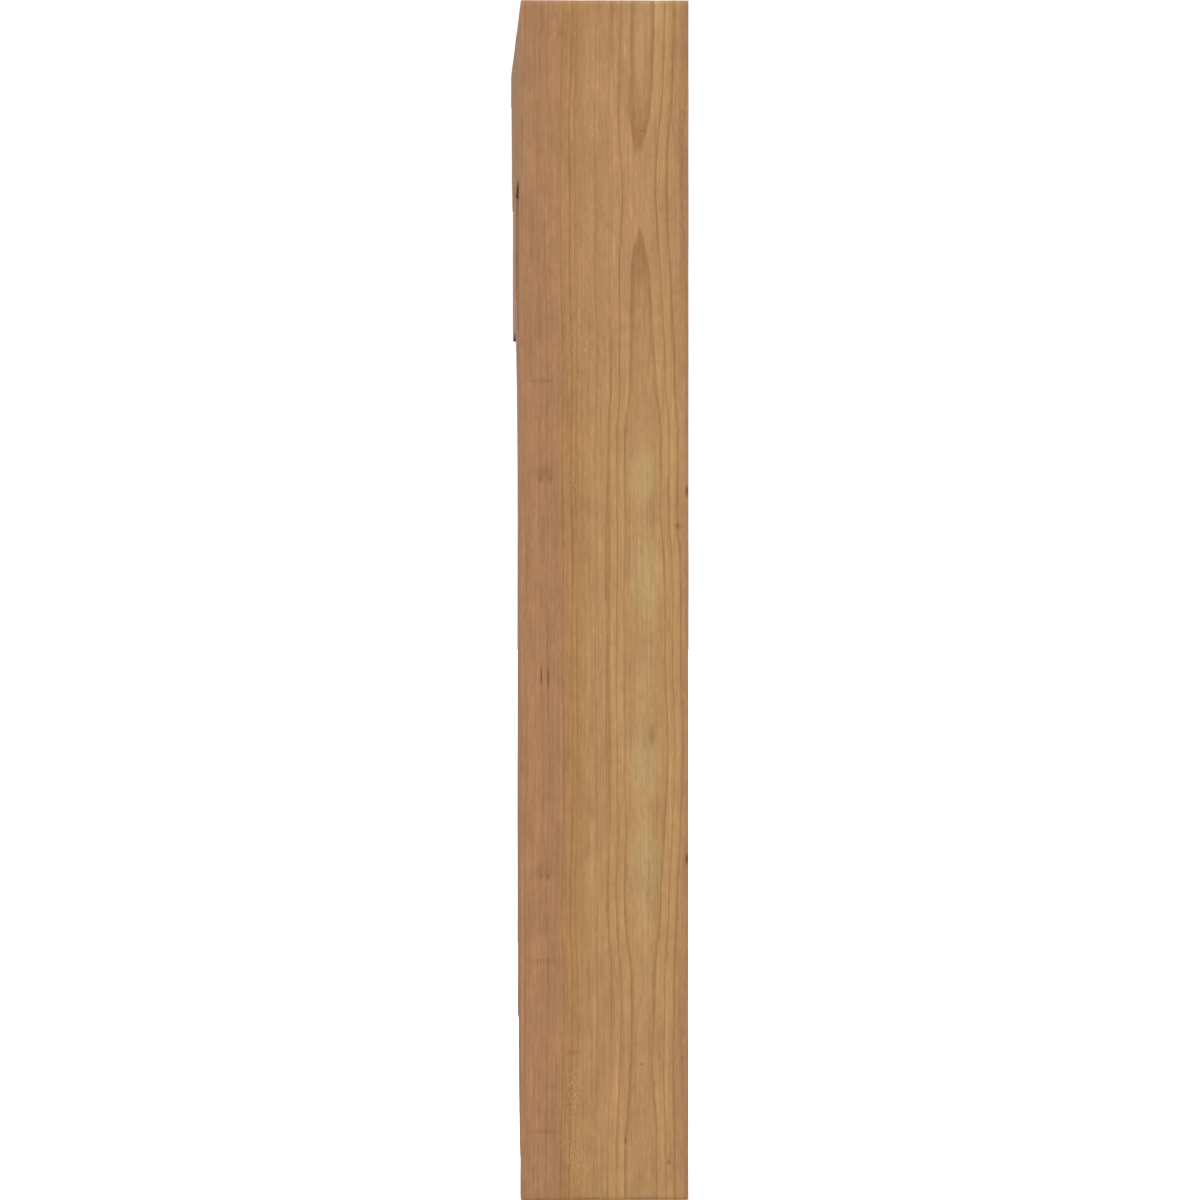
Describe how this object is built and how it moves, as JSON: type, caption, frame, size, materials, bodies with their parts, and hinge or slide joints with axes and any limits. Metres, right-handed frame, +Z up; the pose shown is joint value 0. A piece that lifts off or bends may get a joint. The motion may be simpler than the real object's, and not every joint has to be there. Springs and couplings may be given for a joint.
{
  "type": "wooden bracket",
  "caption": "Timber wall bracket: an upright post and a level beam with moulded ends, joined in the corner by a curved sawn brace with a window.",
  "frame": {"origin": "centre of the post's back face, which lies against the wall", "axes": "+Y into the wall, out of the back of the post; the bracket reaches out towards -Y; +Z up; +X across the thickness of the timbers"},
  "size_m": [0.14, 0.711, 1],
  "materials": {
    "post_timber": "smooth bare softwood, reddish tan, grain running up the post",
    "beam_timber": "smooth bare softwood, reddish tan, grain running out along the beam",
    "brace_timber": "smooth bare softwood, reddish tan, grain running up the brace, sawn curves"
  },
  "bodies": {
    "root": {"wall_post": "post_timber", "top_beam": "beam_timber", "curved_brace": "brace_timber"}
  },
  "joints": []
}
